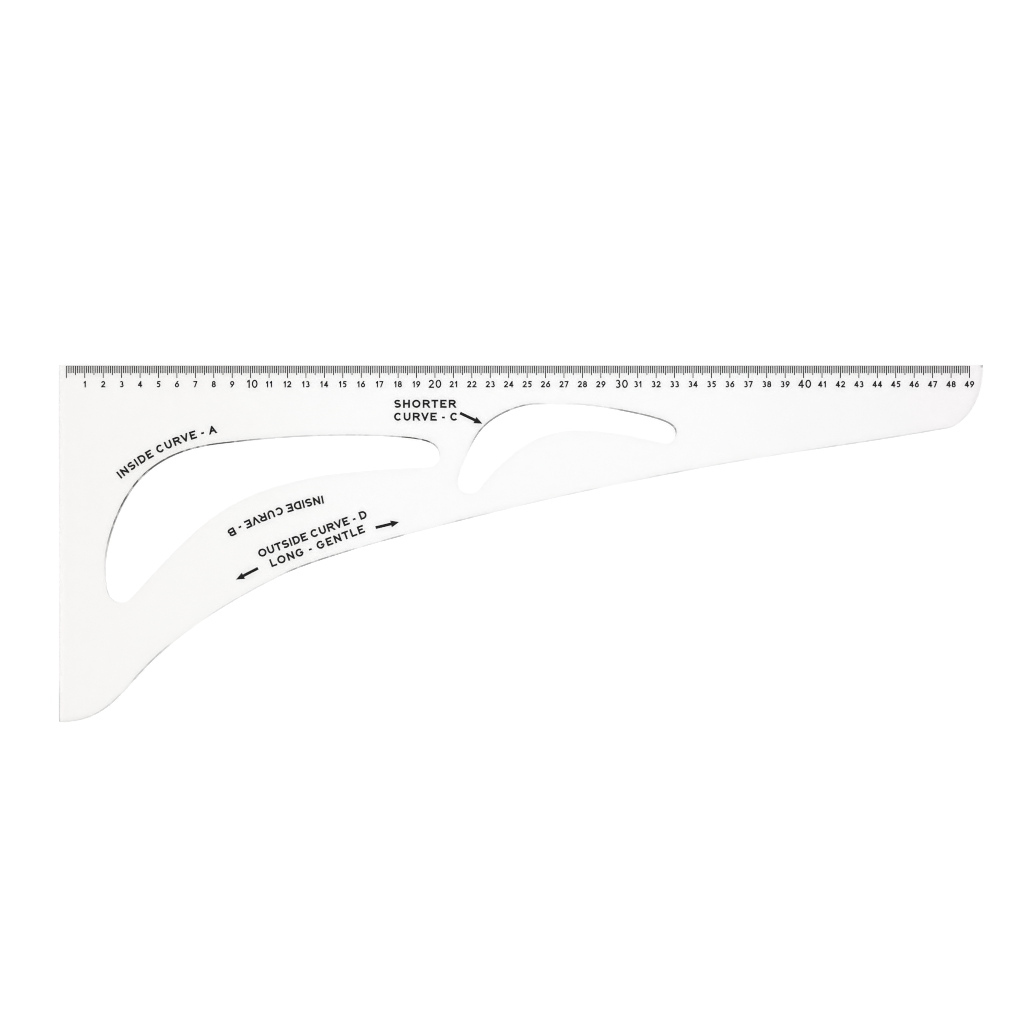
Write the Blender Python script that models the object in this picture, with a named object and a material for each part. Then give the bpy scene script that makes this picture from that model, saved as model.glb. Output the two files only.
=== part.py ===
"""Dressmaker's french curve: a flat sheet of clear acrylic with a straight centimetre scale, a long hip edge and
two inside curves, and the black ink of its graduations and pointers.

Frame: the sheet lies on its back with the printed face up. +X runs along the scale towards the higher numbers, +Y
from the hip edge to the scale edge, and the origin is the bottom centre of the bounding box. Outlines are drawn on
the face in millimetres: x along the scale from its zero mark, y from the scale edge, so y is negative on the sheet.
"""

import math

import bpy
from mathutils import Vector

MM = 0.001

# The sheet.
SHEET_THICKNESS = 3.0
SCALE_LENGTH = 490
ZERO_MARGIN = 4.0  # from the square end to the zero mark
NOSE_MARGIN = 7.5  # from the last mark to the nose
SQUARE_END_HEIGHT = 194.0
CURVE_STEPS = 16  # straight facets in each span of an outline

# The ink, a film printed on the upper face. The air gap only keeps the meshes apart.
INK_THICKNESS = 0.1
INK_GAP = 0.02
LINE_WIDTH = 0.5
EDGE_LINE_WIDTH = 0.2  # the line along the scale edge that joins a comb's marks
EDGE_SETBACK = 0.6  # the ink stops this far short of the sheet's edge
MARK_LENGTHS = {1: 4.6, 5: 5.6, 10: 7.2}  # millimetre, half-centimetre and centimetre marks
MARKS_PER_COMB = 100
ARROW_HEAD = (4.6, 3.8)  # length and width
ARROW_SHAFT_WIDTH = 1.55

LEFT = -ZERO_MARGIN
RIGHT = SCALE_LENGTH + NOSE_MARGIN
CENTRE = Vector(((LEFT + RIGHT) / 2, -SQUARE_END_HEIGHT / 2))

# An outline's nodes: x, y, heading in degrees, and the reach of its handle before and after the node.
HIP_EDGE = [
    (RIGHT, 0, -90, 0, 24),  # nose, at the scale edge
    (478.5, -34.5, 190, 5.5, 83),
    (279.5, -69.2, 192, 111, 27.5),
    (117, -114.2, 206.5, 31.5, 27.5),
    (50, -157.5, 222, 26, 28),
    (LEFT, -SQUARE_END_HEIGHT, 180, 28, 0),  # foot, at the square end
]
LONG_WINDOW = [
    (21, -110, 91, 8, 13),
    (41, -61, 44.5, 17, 24),
    (92, -42, 7, 12, 28),
    (187, -40, -6.5, 26, 12),
    (202.3, -50, -90, 5.5, 3),
    (195.5, -55.5, 182.5, 4, 54),
    (127.5, -62.5, 191.5, 5, 26),
    (71, -89.5, 221.5, 19, 21.5),
    (36, -125.5, 227, 13, 4),
    (29.5, -129, 182, 3, 9),
]
SHORT_WINDOW = [
    (212.5, -62, 82.5, 5, 2.5),
    (225, -35.5, 50, 9.5, 11.5),
    (255, -21.5, 0, 8, 19),
    (309, -26.5, -12, 29, 18),
    (330.7, -37.5, -90, 4.5, 3),
    (323.5, -42.5, 166.5, 4, 9),
    (279.5, -35.5, 178, 23, 19),
    (246, -45.4, 219.5, 2, 13),
    (224, -67.5, 236, 11, 2),
    (218, -69.5, 180, 2.5, 3.5),
]

# Each pointer's tail and tip, at what it points to.
POINTERS = {
    "pointer_short_window": ((213.6, -26.2), (225.8, -32.0)),
    "pointer_hip_foot": ((104.0, -110.4), (92.0, -116.6)),
    "pointer_hip_nose": ((167.8, -88.4), (180.6, -85.3)),
}


def clear_scene():
    """Removes every object of the open file."""
    for obj in list(bpy.data.objects):
        bpy.data.objects.remove(obj, do_unlink=True)


def make_material(name, colour, roughness, alpha=1.0):
    """A Principled material with its viewport colour set to match."""
    material = bpy.data.materials.new(name)
    material.use_nodes = True
    shader = material.node_tree.nodes["Principled BSDF"]
    shader.inputs["Base Color"].default_value = (*colour, 1.0)
    shader.inputs["Roughness"].default_value = roughness
    shader.inputs["Metallic"].default_value = 0.0
    shader.inputs["Alpha"].default_value = alpha
    material.diffuse_color = (*colour, alpha)
    return material


def on_sheet(x, y):
    """A point of the drawing in the part's frame, in metres."""
    return (Vector((x, y)) - CENTRE) * MM


def flat_solid(name, thickness, base, material):
    """An empty flat curve object, filled and as thick as stated, whose underside is at height base."""
    curve = bpy.data.curves.new(name, "CURVE")
    curve.dimensions = "2D"
    curve.fill_mode = "BOTH"
    curve.extrude = thickness * MM / 2
    curve.resolution_u = CURVE_STEPS
    curve.render_resolution_u = 0
    curve.materials.append(material)
    solid = bpy.data.objects.new(name, curve)
    solid.location.z = (base + thickness / 2) * MM
    bpy.context.scene.collection.objects.link(solid)
    return solid


def add_outline(solid, nodes, corner=None):
    """Adds a closed spline through the nodes. A corner is one more point, joined to both ends by straight sides."""
    count = len(nodes) + (corner is not None)
    spline = solid.data.splines.new("BEZIER")
    spline.bezier_points.add(count - 1)
    spline.use_cyclic_u = True
    for point, (x, y, heading, before, after) in zip(spline.bezier_points, nodes):
        angle = math.radians(heading)
        along = Vector((math.cos(angle), math.sin(angle))) * MM
        place = on_sheet(x, y)
        point.handle_left_type = "FREE" if before else "VECTOR"
        point.handle_right_type = "FREE" if after else "VECTOR"
        point.co.xy = place
        point.handle_left.xy = place - along * before
        point.handle_right.xy = place + along * after
    if corner is not None:
        point = spline.bezier_points[-1]
        point.handle_left_type = point.handle_right_type = "VECTOR"
        point.co.xy = on_sheet(*corner)


def add_polygon(solid, points):
    """Adds a closed spline with straight sides."""
    spline = solid.data.splines.new("POLY")
    spline.points.add(len(points) - 1)
    spline.use_cyclic_u = True
    for point, place in zip(spline.points, points):
        point.co.xy = on_sheet(*place)


def make_sheet(acrylic):
    """The acrylic sheet, with its two windows."""
    sheet = flat_solid("sheet", SHEET_THICKNESS, 0, acrylic)
    add_outline(sheet, HIP_EDGE, corner=(LEFT, 0))
    add_outline(sheet, LONG_WINDOW)
    add_outline(sheet, SHORT_WINDOW)
    return sheet


def ink_film(name, ink):
    """An empty film of ink on the sheet's upper face."""
    return flat_solid(name, INK_THICKNESS, SHEET_THICKNESS + INK_GAP, ink)


def mark_length(millimetre):
    """How far a mark reaches from the scale edge."""
    return max(length for every, length in MARK_LENGTHS.items() if millimetre % every == 0)


def make_comb(first, last, ink):
    """The marks from first to before last, hanging from the line along the scale edge."""
    comb = ink_film(f"graduations_{first // 10:02d}_to_{last // 10:02d}_cm", ink)
    top = -EDGE_SETBACK
    root = top - EDGE_LINE_WIDTH
    half = LINE_WIDTH / 2
    points = [(first - half, top)]
    for millimetre in range(first, last):
        foot = -mark_length(millimetre)
        if millimetre > first:
            points.append((millimetre - half, root))
        points.append((millimetre - half, foot))
        points.append((millimetre + half, foot))
        points.append((millimetre + half, root))
    points[-1] = (last - 1 + half, top)
    add_polygon(comb, points)
    return comb


def make_pointer(name, tail, tip, ink):
    """An arrow from tail to tip."""
    start = Vector(tail)
    end = Vector(tip)
    along = (end - start).normalized()
    across = along.orthogonal()
    neck = end - along * ARROW_HEAD[0]
    shaft = across * ARROW_SHAFT_WIDTH / 2
    barb = across * ARROW_HEAD[1] / 2
    pointer = ink_film(name, ink)
    add_polygon(pointer, [start - shaft, neck - shaft, neck - barb, end, neck + barb, neck + shaft, start + shaft])
    return pointer


def main():
    clear_scene()
    acrylic = make_material("clear_acrylic", (0.93, 0.94, 0.94), 0.05, alpha=0.35)
    ink = make_material("black_ink", (0.02, 0.02, 0.02), 0.55)
    make_sheet(acrylic)
    for first in range(0, SCALE_LENGTH, MARKS_PER_COMB):
        last = min(first + MARKS_PER_COMB, SCALE_LENGTH + 1)
        make_comb(first, last, ink)
    for name, (tail, tip) in POINTERS.items():
        make_pointer(name, tail, tip, ink)


main()
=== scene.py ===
"""The looks of the clear french curve: polished acrylic with sawn edges, black printing and a pale studio.

The printed numerals and captions are drawn here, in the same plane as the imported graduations. Places on the
sheet are in millimetres: x along the scale from its zero mark, y from the scale edge (negative on the sheet).
"""

import math

import bmesh
import bpy
from mathutils import Matrix, Vector
from mathutils.geometry import delaunay_2d_cdt


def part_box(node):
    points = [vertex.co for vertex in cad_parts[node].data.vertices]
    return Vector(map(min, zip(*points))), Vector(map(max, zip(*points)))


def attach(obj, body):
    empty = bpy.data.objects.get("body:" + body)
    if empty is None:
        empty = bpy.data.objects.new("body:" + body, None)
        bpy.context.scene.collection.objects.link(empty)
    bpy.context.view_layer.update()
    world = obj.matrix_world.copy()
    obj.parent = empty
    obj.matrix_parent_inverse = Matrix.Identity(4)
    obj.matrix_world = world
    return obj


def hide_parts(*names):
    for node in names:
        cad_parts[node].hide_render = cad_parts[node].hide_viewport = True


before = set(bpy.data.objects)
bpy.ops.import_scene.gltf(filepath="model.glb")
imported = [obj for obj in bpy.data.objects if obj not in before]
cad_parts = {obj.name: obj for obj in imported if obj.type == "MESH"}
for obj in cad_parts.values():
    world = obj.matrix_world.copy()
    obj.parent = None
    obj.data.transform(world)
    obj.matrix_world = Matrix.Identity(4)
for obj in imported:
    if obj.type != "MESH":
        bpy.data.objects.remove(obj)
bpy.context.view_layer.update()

MM = 0.001
MARK_SPACING = 10.0
LAST_MARK = 49

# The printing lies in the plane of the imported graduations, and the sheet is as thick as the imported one.
INK_BOTTOM, INK_TOP = (corner.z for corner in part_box("pointer_hip_foot"))
SHEET_LOW, SHEET_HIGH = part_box("sheet")
ZERO_MARGIN = 4.0  # from the square end to the zero mark

# The upper rims of the sheet are bevelled, most where they face the shaded side, whose edges get painted
# shade.
SHADED_SIDE = Vector((0.5, -0.866))
BEVEL_HEIGHT = 0.45
BEVEL_WIDTH = 0.1
SHADED_BEVEL_WIDTH = 0.7
EDGE_ROUNDING = 0.08
ROUNDING_STEPS = 2
OUTLINE_STEP = 1.6
CORNER_TURN = math.radians(25)

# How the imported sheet's upper outlines are found, in metres.
WELD_DISTANCE = 1e-6
LEVEL_TOLERANCE = 1e-5
FLAT_NORMAL = 0.5  # a face whose normal rises more than this lies flat

# The acrylic.
ACRYLIC_IOR = 1.49
ABSORPTION_TINT = (0.90, 0.905, 0.90, 1.0)
ABSORPTION_DENSITY = 40.0
# The black of the painted edge shade, and of the speck at the nose.
SHADE_AND_SPECK_BLACK = (0.01, 0.01, 0.01, 1.0)
# Painted shading of the faces: lighter in the middle, darker and tinted towards both ends.
LIGHT_FALLOFF_TINTS = (  # along the sheet from its square end to its nose
    (0.0, (0.910, 0.902, 0.890)),
    (0.15, (0.920, 0.915, 0.908)),
    (0.35, (0.936, 0.936, 0.936)),
    (0.65, (0.936, 0.936, 0.936)),
    (0.85, (0.920, 0.917, 0.919)),
    (1.0, (0.914, 0.896, 0.905)),
)
CLEAR_TINT = (0.97, 0.97, 0.97, 1.0)
LIT_STRIP = (1.7, 3.6)  # from the square end: where the painted lighter strip begins to fade, and where it is gone
LIT_STRIP_SHARE = 0.25
SCRATCHES = ((0.12, 1500), (1.05, 1900), (-0.62, 1300))  # each set's turn in radians and cells to the metre

# Where the painted shade on the edges is darkest: a place on the sheet, how far the shade reaches, and how
# dense it is.
EDGE_SHADE_SPOTS = [
    ((52, -57), 85, 1.0),
    ((130, -40), 75, 0.5),
    ((189, -41), 19, 1.0),
    ((236, -28), 30, 0.9),
    ((290, -23), 24, 0.3),
    ((322, -30), 40, 0.9),
    ((137, -106), 28, 0.85),
    ((177, -94), 9, 0.7),
    ((215, -84), 9, 0.5),
    ((441, -40), 55, 0.4),
    ((45, -162), 20, 0.6),
    ((23, -186), 14, 0.4),
]
NOSE_SPECK = ((496.9, -0.7), 1.95, 0.95)  # on the faces and the edge alike
FOOT_DARKENING = ((-4.0, -192.0), 26, 1.0)  # darker only on the square end's edge, above the foot
SPOT_CORE = 0.45  # the share of a spot's reach over which it is at its densest

# The ink.
INK_BLACK = (0.004, 0.004, 0.004, 1.0)
INK_RUBBED = (0.05, 0.05, 0.05, 1.0)

# The lettering.
ARC_STEP = math.radians(12)
SAME_POINT = 1e-6
TRIANGLES_INSIDE = 1  # asks delaunay_2d_cdt for triangles only
DELAUNAY_TOLERANCE = 1e-8
NUMERAL_HEIGHT = 3.5
NUMERAL_STROKE = 0.70
NUMERAL_BASELINE = -12.3
NUMERAL_GAP = 0.5
TENS_HEIGHT = 4.5
TENS_STROKE = 0.75
TENS_BASELINE = -12.6
TENS_GAP = 0.8
TENS_SHIFTS = {10: 0.9, 20: 0.0, 30: 1.3, 40: 0.6}  # past their marks
CAPTION_HEIGHT = 4.45
CAPTION_STROKE = 1.0
LETTER_WIDTH = 1.06  # widens each letter of the captions

# Each character: its width and the space on its left and right, as shares of its height, and its strokes.
# A stroke runs through points, (x, y), and elliptical arcs, (centre x, y, radius x, y, first and last angle).
# They lie on its centre line, from 0 to 1 across and up the room that the line's own thickness leaves.
RING = [[(0.5, 0.5, 0.5, 0.5, 90, 450)]]
DIGITS = {
    "0": (0.70, 0, 0, RING),
    "1": (0.34, 0.06, 0.06, [[(0, 0.84), (1, 1), (1, 0)]]),
    "2": (0.66, 0, 0, [[(0.49, 0.71, 0.46, 0.29, 175, -38), (0, 0), (1, 0)]]),
    "3": (0.62, 0, 0, [[(0.45, 0.75, 0.43, 0.25, 155, -90)], [(0.45, 0.27, 0.55, 0.27, 90, -143)]]),
    "4": (0.68, 0, 0, [[(0.74, 0), (0.74, 1), (0, 0.27), (1, 0.27)]]),
    "5": (0.62, 0, 0, [[(0.92, 1), (0.27, 1), (0.14, 0.56)], [(0.42, 0.31, 0.58, 0.31, 125, -133)]]),
    "6": (0.66, 0, 0, [[(0.5, 0.31, 0.5, 0.31, 90, 450)], [(0.72, 1), (0.07, 0.46)]]),
    "7": (0.62, 0, 0, [[(0, 1), (1, 1), (0.3, 0)]]),
    "8": (0.64, 0, 0, [[(0.5, 0.76, 0.42, 0.24, 90, 450)], [(0.5, 0.27, 0.5, 0.27, 90, 450)]]),
    "9": (0.66, 0, 0, [[(0.5, 0.69, 0.5, 0.31, 90, 450)], [(0.28, 0), (0.93, 0.54)]]),
}
NARROW_LETTERS = {
    "A": (0.98, 0, 0, [[(0.07, 0), (0.5, 1), (0.93, 0)], [(0.22, 0.34), (0.78, 0.34)]]),
    "B": (
        0.84, 0.1, 0.06,
        [[(0, 0), (0, 1), (0.5, 1), (0.5, 0.76, 0.42, 0.24, 90, -90), (0, 0.52)],
         [(0, 0.52), (0.56, 0.52), (0.56, 0.26, 0.44, 0.26, 90, -90), (0, 0)]],
    ),
    "C": (0.9, 0.06, 0.05, [[(0.5, 0.5, 0.5, 0.5, 38, 322)]]),
    "D": (0.84, 0.1, 0.06, [[(0, 0), (0, 1), (0.42, 1), (0.42, 0.5, 0.58, 0.5, 90, -90), (0, 0)]]),
    "E": (0.74, 0.1, 0.05, [[(1, 1), (0, 1), (0, 0), (1, 0)], [(0, 0.52), (0.92, 0.52)]]),
    "G": (0.93, 0.06, 0.08, [[(0.5, 0.5, 0.5, 0.5, 42, 352), (1, 0.46), (0.56, 0.46)]]),
    "H": (0.8, 0.1, 0.1, [[(0, 0), (0, 1)], [(1, 0), (1, 1)], [(0, 0.52), (1, 0.52)]]),
    "I": (0.2, 0.1, 0.1, [[(0.5, 0), (0.5, 1)]]),
    "L": (0.7, 0.1, 0.03, [[(0, 1), (0, 0), (1, 0)]]),
    "N": (0.8, 0.1, 0.1, [[(0, 0), (0, 1), (1, 0), (1, 1)]]),
    "O": (0.97, 0.06, 0.06, RING),
    "R": (
        0.88, 0.1, 0,
        [[(0, 0), (0, 1), (0.5, 1), (0.5, 0.745, 0.41, 0.255, 90, -90), (0, 0.49)], [(0.5, 0.49), (0.93, 0)]],
    ),
    "S": (0.8, 0.05, 0.05, [[(0.5, 0.75, 0.46, 0.25, 28, 245), (0.5, 0.25, 0.5, 0.25, 65, -152)]]),
    "T": (0.8, 0.03, 0.03, [[(0, 1), (1, 1)], [(0.5, 0), (0.5, 1)]]),
    "U": (0.8, 0.1, 0.1, [[(0, 1), (0.5, 0.42, 0.5, 0.42, 180, 360), (1, 1)]]),
    "V": (0.93, 0, 0, [[(0.07, 1), (0.5, 0), (0.93, 1)]]),
    "-": (0.34, 0.06, 0.06, [[(0, 0.37), (1, 0.37)]]),
    " ": (0.2, 0.09, 0.09, []),
}
LETTERS = {
    character: (width * LETTER_WIDTH, left, right, strokes)
    for character, (width, left, right, strokes) in NARROW_LETTERS.items()
}

# Each caption's lines: the words, where their baseline starts, its heading and how far it turns, in degrees,
# and its length.
CAPTIONS = {
    "caption_long_window_front": [("INSIDE CURVE - A", (29.8, -61.9), 39.5, -28, 58.4)],
    "caption_long_window_back": [("INSIDE CURVE - B", (139.0, -70.9), 191, 18, 55.6)],
    "caption_short_window": [
        ("SHORTER", (177.8, -23.4), 0, 0, 33.8),
        ("CURVE - C", (177.8, -30.4), 0, 0, 34.7),
    ],
    "caption_hip_edge": [
        ("OUTSIDE CURVE - D", (105.0, -104.8), 20.5, 0, 62.5),
        ("LONG - GENTLE", (111.5, -109.9), 20.5, 0, 54.2),
    ],
}

# The view: straight down, a little off the sheet's middle.
VIEW_CENTRE = (241.8, -79.9)
VIEW_WIDTH = 555.6
CAMERA_DISTANCE = 1200.0
SENSOR_WIDTH = 36.0

# The studio, in metres.
CAMERA_CLIP_END = 200.0
FLOOR_RADIUS = 60.0
FLOOR_SIDES = 64
FLOOR_HEIGHT = -0.0003
FLOOR_GREY = (0.45, 0.45, 0.45, 1.0)
FLOOR_GLOW = (1.0, 1.0, 1.0, 1.0)
FLOOR_GLOW_STRENGTH = 0.74
DOME_GREYS = ((0.0, 1.0), (0.12, 1.0), (0.4, 0.85), (0.9, 0.8), (0.97, 0.45))  # from the horizon to overhead


def on_sheet(x, y):
    """A place on the sheet in the frame, in metres."""
    return Vector((SHEET_LOW.x + (x + ZERO_MARGIN) * MM, SHEET_HIGH.y + y * MM))


def made_of(name, mesh, *materials):
    """A new object with the BMesh's shape and the materials in its slots. It frees the BMesh."""
    data = bpy.data.meshes.new(name)
    mesh.to_mesh(data)
    mesh.free()
    for material in materials:
        data.materials.append(material)
    obj = bpy.data.objects.new(name, data)
    bpy.context.scene.collection.objects.link(obj)
    return obj


# Materials


def new_material(name):
    """A new material, its node tree and its Principled shader."""
    material = bpy.data.materials.new(name)
    material.use_nodes = True
    return material, material.node_tree, material.node_tree.nodes["Principled BSDF"]


def feed(tree, socket, value):
    """Gives an input socket its value, or links it to another node's output socket."""
    if isinstance(value, bpy.types.NodeSocket):
        tree.links.new(value, socket)
    else:
        socket.default_value = value


def node(tree, kind, inputs=None, **settings):
    """Adds a shader node. Each input is a value or another node's output socket."""
    made = tree.nodes.new(kind)
    for key, value in settings.items():
        setattr(made, key, value)
    for key, value in (inputs or {}).items():
        feed(tree, made.inputs[key], value)
    return made


def ramp(tree, factor, stops):
    """A ramp of colours along a factor. Each stop is its position and a grey value, or a colour."""
    made = node(tree, "ShaderNodeValToRGB", {"Fac": factor})
    made.color_ramp.interpolation = "EASE"
    elements = made.color_ramp.elements
    for index, (position, value) in enumerate(stops):
        element = elements[index] if index < len(elements) else elements.new(position)
        element.position = position
        element.color = (*value, 1.0) if isinstance(value, tuple) else (value, value, value, 1.0)
    return made.outputs["Color"]


def mixed(tree, factor, first, second):
    """Two colours mixed by a factor."""
    mix = node(tree, "ShaderNodeMix", data_type="RGBA")
    for socket, value in (("Factor_Float", factor), ("A_Color", first), ("B_Color", second)):
        feed(tree, next(item for item in mix.inputs if item.identifier == socket), value)
    return next(item for item in mix.outputs if item.identifier == "Result_Color")


def stretched(tree, scale, rotation=0.0):
    """The object's own coordinates, turned about Z and then stretched."""
    coordinates = node(tree, "ShaderNodeTexCoord").outputs["Object"]
    turned = node(tree, "ShaderNodeMapping", {"Vector": coordinates, "Rotation": (0.0, 0.0, rotation)})
    mapping = node(tree, "ShaderNodeMapping", {"Vector": turned.outputs["Vector"], "Scale": scale})
    return mapping.outputs["Vector"]


def noise(tree, scale, detail=2.0, rotation=0.0):
    """Noise in the object's own coordinates. scale is its cells to the metre along each axis."""
    inputs = {"Vector": stretched(tree, scale, rotation), "Scale": 1.0, "Detail": detail, "Roughness": 0.55}
    return node(tree, "ShaderNodeTexNoise", inputs).outputs["Fac"]


def between(tree, value, low, high, first, last, course="SMOOTHSTEP"):
    """A value from low to high carried over to a value from first to last, and held at both ends."""
    inputs = {"Value": value, "From Min": low, "From Max": high, "To Min": first, "To Max": last}
    return node(tree, "ShaderNodeMapRange", inputs, interpolation_type=course).outputs["Result"]


def combined(tree, operation, first, second):
    """The result of a Math node on two values."""
    return node(tree, "ShaderNodeMath", {0: first, 1: second}, operation=operation).outputs["Value"]


def bumped(tree, shader, height, strength, distance):
    """Roughens the shader's surface by a height, in shares of a distance in metres."""
    inputs = {"Height": height, "Strength": strength, "Distance": distance}
    feed(tree, shader.inputs["Normal"], node(tree, "ShaderNodeBump", inputs).outputs["Normal"])


def clear_acrylic(name):
    """Clear acrylic with a glossy surface: its material, node tree and shader."""
    material, tree, shader = new_material(name)
    shader.inputs["IOR"].default_value = ACRYLIC_IOR
    shader.inputs["Transmission Weight"].default_value = 1.0
    absorption = {"Color": ABSORPTION_TINT, "Density": ABSORPTION_DENSITY}
    volume = node(tree, "ShaderNodeVolumeAbsorption", absorption)
    feed(tree, tree.nodes["Material Output"].inputs["Volume"], volume.outputs["Volume"])
    return material, tree, shader


def spot(tree, place, reach, density):
    """A round spot about a place on the sheet, which fades from its density to nothing at its reach."""
    inputs = {0: node(tree, "ShaderNodeTexCoord").outputs["Object"], 1: (*on_sheet(*place), SHEET_HIGH.z / 2)}
    away = node(tree, "ShaderNodeVectorMath", inputs, operation="DISTANCE").outputs["Value"]
    return between(tree, away, SPOT_CORE * reach * MM, reach * MM, density, 0.0)


def acrylic_face():
    """Polished faces with smudges and fine scratches, and faint painted shading that darkens and tints them
    towards both ends.

    They also have a painted lighter strip along the square end, and the speck at the nose.
    """
    material, tree, shader = clear_acrylic("acrylic_face")
    coordinates = node(tree, "ShaderNodeTexCoord").outputs["Object"]
    along = node(tree, "ShaderNodeSeparateXYZ", {"Vector": coordinates}).outputs["X"]
    # Painted shading: lighter in the middle, darker and tinted towards both ends, varied at random.
    cloudy = combined(tree, "MULTIPLY", noise(tree, (14, 14, 14), 2.0), 0.2)
    reach = between(tree, along, SHEET_LOW.x, SHEET_HIGH.x, -0.1, 0.9, "LINEAR")
    tint = ramp(tree, combined(tree, "ADD", reach, cloudy), LIGHT_FALLOFF_TINTS)
    # Painted light: a lighter strip along the square end.
    clear, faded = (SHEET_LOW.x + width * MM for width in LIT_STRIP)
    strip = between(tree, along, clear, faded, LIT_STRIP_SHARE, 0.0)
    tint = mixed(tree, strip, tint, CLEAR_TINT)
    feed(tree, shader.inputs["Base Color"], mixed(tree, spot(tree, *NOSE_SPECK), tint, SHADE_AND_SPECK_BLACK))
    smudges = between(tree, noise(tree, (22, 30, 30), 3.0, 0.4), 0.45, 0.75, 0.0, 1.0)
    scratches = 0.0
    for turn, across in SCRATCHES:
        line = noise(tree, (9, across, 9), 0.0, turn)
        scratches = combined(tree, "ADD", scratches, between(tree, line, 0.76, 0.84, 0.0, 1.0))
    smudged = between(tree, smudges, 0.0, 1.0, 0.015, 0.05)
    scratched = combined(tree, "MULTIPLY", scratches, 0.12)
    feed(tree, shader.inputs["Roughness"], combined(tree, "ADD", smudged, scratched))
    bumped(tree, shader, scratches, 0.06, 0.00005)
    return material


def acrylic_edge():
    """Sawn edges: satin and finely ribbed across, with painted shade in places where they face the shaded
    side.
    """
    material, tree, shader = clear_acrylic("acrylic_edge")
    # Painted shade: the edges that face the shaded side are darkened, most at the listed spots, and broken
    # into dashes.
    shade_facing = node(tree, "ShaderNodeAttribute", attribute_name="shade_facing").outputs["Fac"]
    shade_facing = between(tree, shade_facing, 0.1, 0.85, 0.0, 1.0)
    edge_shade = between(tree, noise(tree, (30, 30, 10), 2.0), 0.35, 0.65, 0.0, 0.3)
    for place, reach, density in EDGE_SHADE_SPOTS:
        edge_shade = combined(tree, "MAXIMUM", edge_shade, spot(tree, place, reach, density))
    dashes = between(tree, noise(tree, (160, 160, 20), 2.0), 0.40, 0.50, 0.7, 1.0)
    darkening = combined(tree, "MULTIPLY", combined(tree, "MULTIPLY", shade_facing, edge_shade), dashes)
    darkening = combined(tree, "MAXIMUM", darkening, spot(tree, *NOSE_SPECK))
    on_square_end = between(tree, shade_facing, 0.0, 0.1, 1.0, 0.0)
    foot = combined(tree, "MULTIPLY", on_square_end, spot(tree, *FOOT_DARKENING))
    darkening = combined(tree, "MAXIMUM", darkening, foot)
    feed(tree, shader.inputs["Base Color"], mixed(tree, darkening, CLEAR_TINT, SHADE_AND_SPECK_BLACK))
    ribs = noise(tree, (1600, 1600, 60), 1.0)
    feed(tree, shader.inputs["Roughness"], between(tree, ribs, 0.3, 0.7, 0.05, 0.14))
    bumped(tree, shader, ribs, 0.25, 0.00005)
    return material


def black_ink():
    """Screen-printed ink: satin black with a fine grain, greyer where it is rubbed."""
    material, tree, shader = new_material("black_ink")
    shader.inputs["Specular IOR Level"].default_value = 0.3
    grain = noise(tree, (2600, 2600, 2600), 2.0)
    rubbed = between(tree, noise(tree, (420, 300, 420), 3.0), 0.62, 0.75, 0.0, 1.0)
    worn = combined(tree, "MULTIPLY", rubbed, between(tree, grain, 0.45, 0.6, 0.0, 1.0))
    feed(tree, shader.inputs["Base Color"], mixed(tree, worn, INK_BLACK, INK_RUBBED))
    feed(tree, shader.inputs["Roughness"], between(tree, grain, 0.3, 0.7, 0.45, 0.65))
    bumped(tree, shader, grain, 0.2, 0.00003)
    return material


# The sheet


def top_loops(obj, height):
    """The outlines of a node's upper face, as closed lists of points with the material on their left."""
    mesh = bmesh.new()
    mesh.from_mesh(obj.data)
    bmesh.ops.remove_doubles(mesh, verts=mesh.verts, dist=WELD_DISTANCE)
    following = {}
    for face in mesh.faces:
        if face.normal.z < FLAT_NORMAL or face.calc_center_median().z < height - LEVEL_TOLERANCE:
            continue
        for loop in face.loops:
            across = loop.link_loop_radial_next.face
            if abs(across.normal.z) < FLAT_NORMAL:
                following[loop.vert.index] = loop.link_loop_next.vert.index
    mesh.verts.ensure_lookup_table()
    loops = []
    while following:
        start, index = following.popitem()
        points = [mesh.verts[start].co.xy.copy()]
        while index != start:
            points.append(mesh.verts[index].co.xy.copy())
            index = following.pop(index)
        loops.append(points)
    mesh.free()
    return loops


def turn_at(points, index):
    """How sharply a closed outline turns at one of its points."""
    before = points[index] - points[index - 1]
    after = points[(index + 1) % len(points)] - points[index]
    return abs(before.angle_signed(after))


def refined(points):
    """A closed outline with points added on a smooth curve, and whether each of its points is a corner."""
    count = len(points)
    corners = [turn_at(points, index) > CORNER_TURN for index in range(count)]
    result = []
    for index in range(count):
        start, end = points[index], points[(index + 1) % count]
        before = 2 * start - end if corners[index] else points[index - 1]
        after = 2 * end - start if corners[(index + 1) % count] else points[(index + 2) % count]
        length = (end - start).length
        steps = max(1, round(length / (OUTLINE_STEP * MM)))
        leave = (end - before).normalized() * length
        arrive = (after - start).normalized() * length
        for step in range(steps):
            t = step / steps
            place = (
                start * (2 * t**3 - 3 * t**2 + 1)
                + leave * (t**3 - 2 * t**2 + t)
                + end * (3 * t**2 - 2 * t**3)
                + arrive * (t**3 - t**2)
            )
            result.append((place, corners[index] and step == 0))
    return result


def inward(points):
    """For each point of a closed outline, the step into the material that moves both its sides by one."""
    steps = []
    for index, point in enumerate(points):
        before = (point - points[index - 1]).normalized()
        after = (points[(index + 1) % len(points)] - point).normalized()
        left_before = Vector((-before.y, before.x))
        left_after = Vector((-after.y, after.x))
        middle = (left_before + left_after).normalized()
        steps.append(middle / middle.dot(left_after))
    return steps


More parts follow.
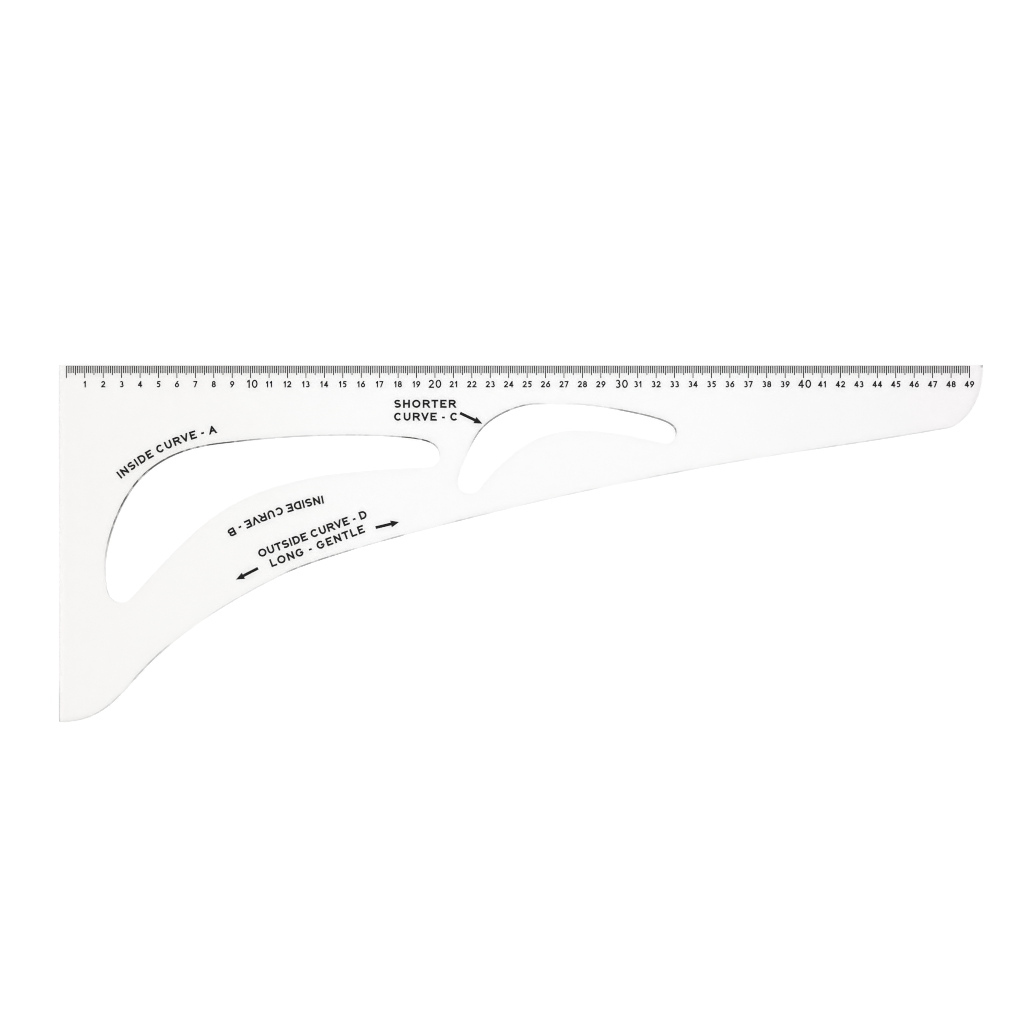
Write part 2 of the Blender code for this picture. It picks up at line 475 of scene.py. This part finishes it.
def edge_profile(thickness):
    """The rows of the sheet's edge from its lower to its upper face.

    Each is how far in it lies, its height, and its share of the bevel.
    """
    radius = EDGE_ROUNDING * MM
    rows = []
    for step in range(ROUNDING_STEPS + 1):
        angle = math.pi / 2 * step / ROUNDING_STEPS
        rows.append((radius * (1 - math.sin(angle)), radius * (1 - math.cos(angle)), 0.0))
    rows.append((0.0, thickness - BEVEL_HEIGHT * MM, 0.0))
    return rows + [(depth, thickness - height, 1.0) for depth, height, _ in reversed(rows[:-1])]


def facing(step, is_window):
    """How far a place of an outline faces the shaded side, from 0 to 1. step leads from it into the material.

    A window faces the shaded side towards both of its tips, and gets painted shade there.
    """
    away = -step.normalized()
    if is_window:
        away.x = abs(away.x)
    return max(0.0, away.dot(SHADED_SIDE))


def bevel(darkening):
    """How wide the upper rim's bevel is where an outline faces the shaded side that far."""
    return (BEVEL_WIDTH + (SHADED_BEVEL_WIDTH - BEVEL_WIDTH) * darkening) * MM


def make_sheet(face_material, edge_material):
    """The acrylic sheet. Its edges carry how far they face the shaded side, for their material's painted
    shade.
    """
    base = SHEET_LOW.z
    profile = edge_profile(SHEET_HIGH.z - base)
    mesh = bmesh.new()
    # How far each edge faces the shaded side, which its material turns into painted shade.
    shade_facing = mesh.verts.layers.float.new("shade_facing")
    rims = ([], [])
    for outline in top_loops(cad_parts["sheet"], SHEET_HIGH.z):
        points, corners = zip(*refined(outline))
        steps = inward(points)
        is_window = sum(point.cross(points[index - 1]) for index, point in enumerate(points)) > 0
        shade_facings = [facing(step, is_window) for step in steps]
        rows = [
            [
                mesh.verts.new((*(point + step * (depth + share * bevel(darkening))), base + height))
                for point, step, darkening in zip(points, steps, shade_facings)
            ]
            for depth, height, share in profile
        ]
        for row in rows:
            for vertex, darkening in zip(row, shade_facings):
                vertex[shade_facing] = darkening
        count = len(points)
        bevel_foot = rows[ROUNDING_STEPS + 1]
        for lower, upper in zip(rows, rows[1:]):
            for index in range(count):
                after = (index + 1) % count
                face = mesh.faces.new((lower[index], lower[after], upper[after], upper[index]))
                face.smooth = True
                face.material_index = 1
        for index in range(count):
            mesh.edges.get((bevel_foot[index], bevel_foot[(index + 1) % count])).smooth = False
            if corners[index]:
                for lower, upper in zip(rows, rows[1:]):
                    mesh.edges.get((lower[index], upper[index])).smooth = False
        for rim, row in zip(rims, (rows[0], rows[-1])):
            rim += [mesh.edges.get((row[index], row[(index + 1) % count])) for index in range(count)]
    for rim in rims:
        bmesh.ops.triangle_fill(mesh, use_beauty=True, use_dissolve=False, edges=rim)
    bmesh.ops.recalc_face_normals(mesh, faces=mesh.faces)
    return made_of("acrylic_sheet", mesh, face_material, edge_material)


# The lettering


def stroke_points(stroke):
    """A stroke's centre line, with its arcs cut into short steps."""
    points = []
    for item in stroke:
        if len(item) == 2:
            points.append(Vector(item))
            continue
        x, y, radius_x, radius_y, first, last = item
        first, last = math.radians(first), math.radians(last)
        steps = math.ceil(abs(last - first) / ARC_STEP)
        for step in range(steps + 1):
            angle = first + (last - first) * step / steps
            points.append(Vector((x + radius_x * math.cos(angle), y + radius_y * math.sin(angle))))
    return [
        point
        for index, point in enumerate(points)
        if index == 0 or (point - points[index - 1]).length > SAME_POINT
    ]


def clipped(polygon, axis, limit, side):
    """A convex polygon without what lies past a limit along an axis.

    side is 1 for an upper limit and -1 for a lower one.
    """
    result = []
    for index, point in enumerate(polygon):
        before = polygon[index - 1]
        inside, was_inside = (side * (limit - p[axis]) >= 0 for p in (point, before))
        if inside != was_inside:
            result.append(before.lerp(point, (limit - before[axis]) / (point[axis] - before[axis])))
        if inside:
            result.append(point)
    return result


def stroke_pieces(stroke, width, height, thickness):
    """A stroke's quads, in a character of that width and height.

    An end on the character's border is carried on and cut flat.
    """
    shares = stroke_points(stroke)
    room = Vector((width - thickness, height - thickness))
    inset = Vector((thickness, thickness)) / 2
    line = [Vector((share.x * room.x, share.y * room.y)) + inset for share in shares]
    closed = (line[0] - line[-1]).length < SAME_POINT
    if closed:
        line.pop()
    else:
        for end, inner in ((0, 1), (-1, -2)):
            if not all(0 < share < 1 for share in shares[end]):
                line[end] += (line[end] - line[inner]).normalized() * thickness
    count = len(line)
    sides = []
    for index, point in enumerate(line):
        before = (point - line[index - 1]).normalized()
        after = (line[(index + 1) % count] - point).normalized()
        if not closed and index == 0:
            before = after
        if not closed and index == count - 1:
            after = before
        middle = Vector((-before.y - after.y, before.x + after.x)).normalized()
        reach = middle * thickness / 2 / middle.dot(Vector((-after.y, after.x)))
        sides.append((point + reach, point - reach))
    pieces = []
    for index in range(count if closed else count - 1):
        left, right = sides[index]
        next_left, next_right = sides[(index + 1) % count]
        piece = [left, right, next_right, next_left]
        for axis, limit in ((0, width), (1, height)):
            piece = clipped(clipped(piece, axis, limit, 1), axis, 0.0, -1)
        if len(piece) > 2:
            pieces.append(piece)
    return pieces


def print_shapes(name, shapes, ink):
    """Adds a film of ink in the printing's plane. Each shape is a list of overlapping polygons, in metres."""
    mesh = bmesh.new()
    for polygons in shapes:
        points = [point for polygon in polygons for point in polygon]
        indices = iter(range(len(points)))
        faces = [[next(indices) for _ in polygon] for polygon in polygons]
        found = delaunay_2d_cdt(points, [], faces, TRIANGLES_INSIDE, DELAUNAY_TOLERANCE)
        places, _, triangles, _, _, sources = found
        triangles = [triangle for triangle, source in zip(triangles, sources) if source]
        lower, upper = ([mesh.verts.new((*place, z)) for place in places] for z in (INK_BOTTOM, INK_TOP))
        sides = set()
        for triangle in triangles:
            mesh.faces.new([upper[index] for index in triangle])
            mesh.faces.new([lower[index] for index in reversed(triangle)])
            for index, start in enumerate(triangle):
                side = (start, triangle[(index + 1) % len(triangle)])
                if side[::-1] in sides:
                    sides.remove(side[::-1])
                else:
                    sides.add(side)
        for start, end in sorted(sides):
            mesh.faces.new((lower[start], lower[end], upper[end], upper[start]))
    piece = made_of(name, mesh, ink)
    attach(piece, "root")


def spaced(text, font, height, gap):
    """The middle of each character of a line, and the line's length. gap is the space between characters."""
    middles = []
    reach = 0.0
    for index, character in enumerate(text):
        width, left, right, _ = font[character]
        if index > 0:
            reach += gap + left * height
        middles.append(reach + width * height / 2)
        reach += width * height
        if index < len(text) - 1:
            reach += right * height
    return middles, reach


def character_shape(character, font, height, stroke, place, heading):
    """A character's polygons in the frame. place is the middle of its foot."""
    width, _, _, strokes = font[character]
    turn = Matrix.Rotation(heading, 2)
    foot = Vector((width * height / 2, 0))
    return [
        [on_sheet(*(Vector(place) + turn @ (point - foot))) for point in piece]
        for line in strokes
        for piece in stroke_pieces(line, width * height, height, stroke)
    ]


def make_numerals(first, last, ink):
    """Prints the numerals from first to last, each below its mark. Whole tens are larger."""
    shapes = []
    for number in range(first, last + 1):
        tens = number % 10 == 0
        height = TENS_HEIGHT if tens else NUMERAL_HEIGHT
        stroke = TENS_STROKE if tens else NUMERAL_STROKE
        baseline = TENS_BASELINE if tens else NUMERAL_BASELINE
        middles, length = spaced(str(number), DIGITS, height, TENS_GAP if tens else NUMERAL_GAP)
        start = number * MARK_SPACING - length / 2 + TENS_SHIFTS.get(number, 0)
        for character, middle in zip(str(number), middles):
            place = (start + middle, baseline)
            shapes.append(character_shape(character, DIGITS, height, stroke, place, 0))
    name = f"numerals_{first // 10 * 10:02d}_to_{min(last + 1, LAST_MARK):02d}_cm"
    print_shapes(name, shapes, ink)


def make_caption(name, lines, ink):
    """Prints a caption, its characters spread evenly along straight or curved lines."""
    shapes = []
    for text, start, heading, turn, length in lines:
        _, natural = spaced(text, LETTERS, CAPTION_HEIGHT, 0)
        gap = (length - natural) / (len(text) - 1)
        middles, _ = spaced(text, LETTERS, CAPTION_HEIGHT, gap)
        heading, turn = math.radians(heading), math.radians(turn)
        for character, middle in zip(text, middles):
            if character == " ":
                continue
            bend = turn * middle / length
            chord = 2 * math.sin(bend / 2) * length / turn if turn else middle
            toward = Vector((math.cos(heading + bend / 2), math.sin(heading + bend / 2)))
            place = Vector(start) + toward * chord
            shapes.append(
                character_shape(character, LETTERS, CAPTION_HEIGHT, CAPTION_STROKE, place, heading + bend)
            )
    print_shapes(name, shapes, ink)


# The studio


def make_camera():
    """The camera, looking straight down."""
    camera = bpy.data.objects.new("camera", bpy.data.cameras.new("camera"))
    bpy.context.scene.collection.objects.link(camera)
    camera.location = (*on_sheet(*VIEW_CENTRE), CAMERA_DISTANCE * MM)
    above = CAMERA_DISTANCE - SHEET_HIGH.z / MM
    camera.data.sensor_width = SENSOR_WIDTH
    camera.data.lens = SENSOR_WIDTH * above / VIEW_WIDTH
    camera.data.clip_end = CAMERA_CLIP_END
    bpy.context.scene.camera = camera


def make_floor():
    """A wide, pale, matt floor just below the sheet, lit from within like a light table."""
    mesh = bmesh.new()
    bmesh.ops.create_circle(mesh, cap_ends=True, segments=FLOOR_SIDES, radius=FLOOR_RADIUS)
    material, _, shader = new_material("floor_white")
    shader.inputs["Base Color"].default_value = FLOOR_GREY
    shader.inputs["Roughness"].default_value = 1.0
    shader.inputs["Specular IOR Level"].default_value = 0.0
    shader.inputs["Emission Color"].default_value = FLOOR_GLOW
    shader.inputs["Emission Strength"].default_value = FLOOR_GLOW_STRENGTH
    material.cycles.emission_sampling = "NONE"
    floor = made_of("floor", mesh, material)
    floor.location.z = FLOOR_HEIGHT


def light_studio():
    """A soft white dome, darker right overhead, where the polished sheet mirrors it."""
    world = bpy.data.worlds.new("studio")
    world.use_nodes = True
    bpy.context.scene.world = world
    tree = world.node_tree
    background = tree.nodes["Background"]
    direction = node(tree, "ShaderNodeTexCoord").outputs["Generated"]
    upward = node(tree, "ShaderNodeSeparateXYZ", {"Vector": direction}).outputs["Z"]
    feed(tree, background.inputs["Color"], ramp(tree, upward, DOME_GREYS))
    background.inputs["Strength"].default_value = 1.0
    bpy.context.scene.view_settings.view_transform = "Standard"
    # Light reaches the floor through the clear sheet, which takes more bounces than the defaults allow.
    cycles = bpy.context.scene.cycles
    cycles.blur_glossy = 0.0
    cycles.max_bounces = 32
    cycles.transmission_bounces = 32
    cycles.glossy_bounces = 16
    cycles.filter_width = 1.0


ink = black_ink()
for name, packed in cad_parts.items():
    if name != "sheet":
        for slot in packed.material_slots:
            slot.material = ink

sheet = make_sheet(acrylic_face(), acrylic_edge())
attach(sheet, "root")
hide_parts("sheet")

make_numerals(1, 9, ink)
for tens in (10, 20, 30, 40):
    make_numerals(tens, tens + 9, ink)
for name, lines in CAPTIONS.items():
    make_caption(name, lines, ink)

make_camera()
make_floor()
light_studio()
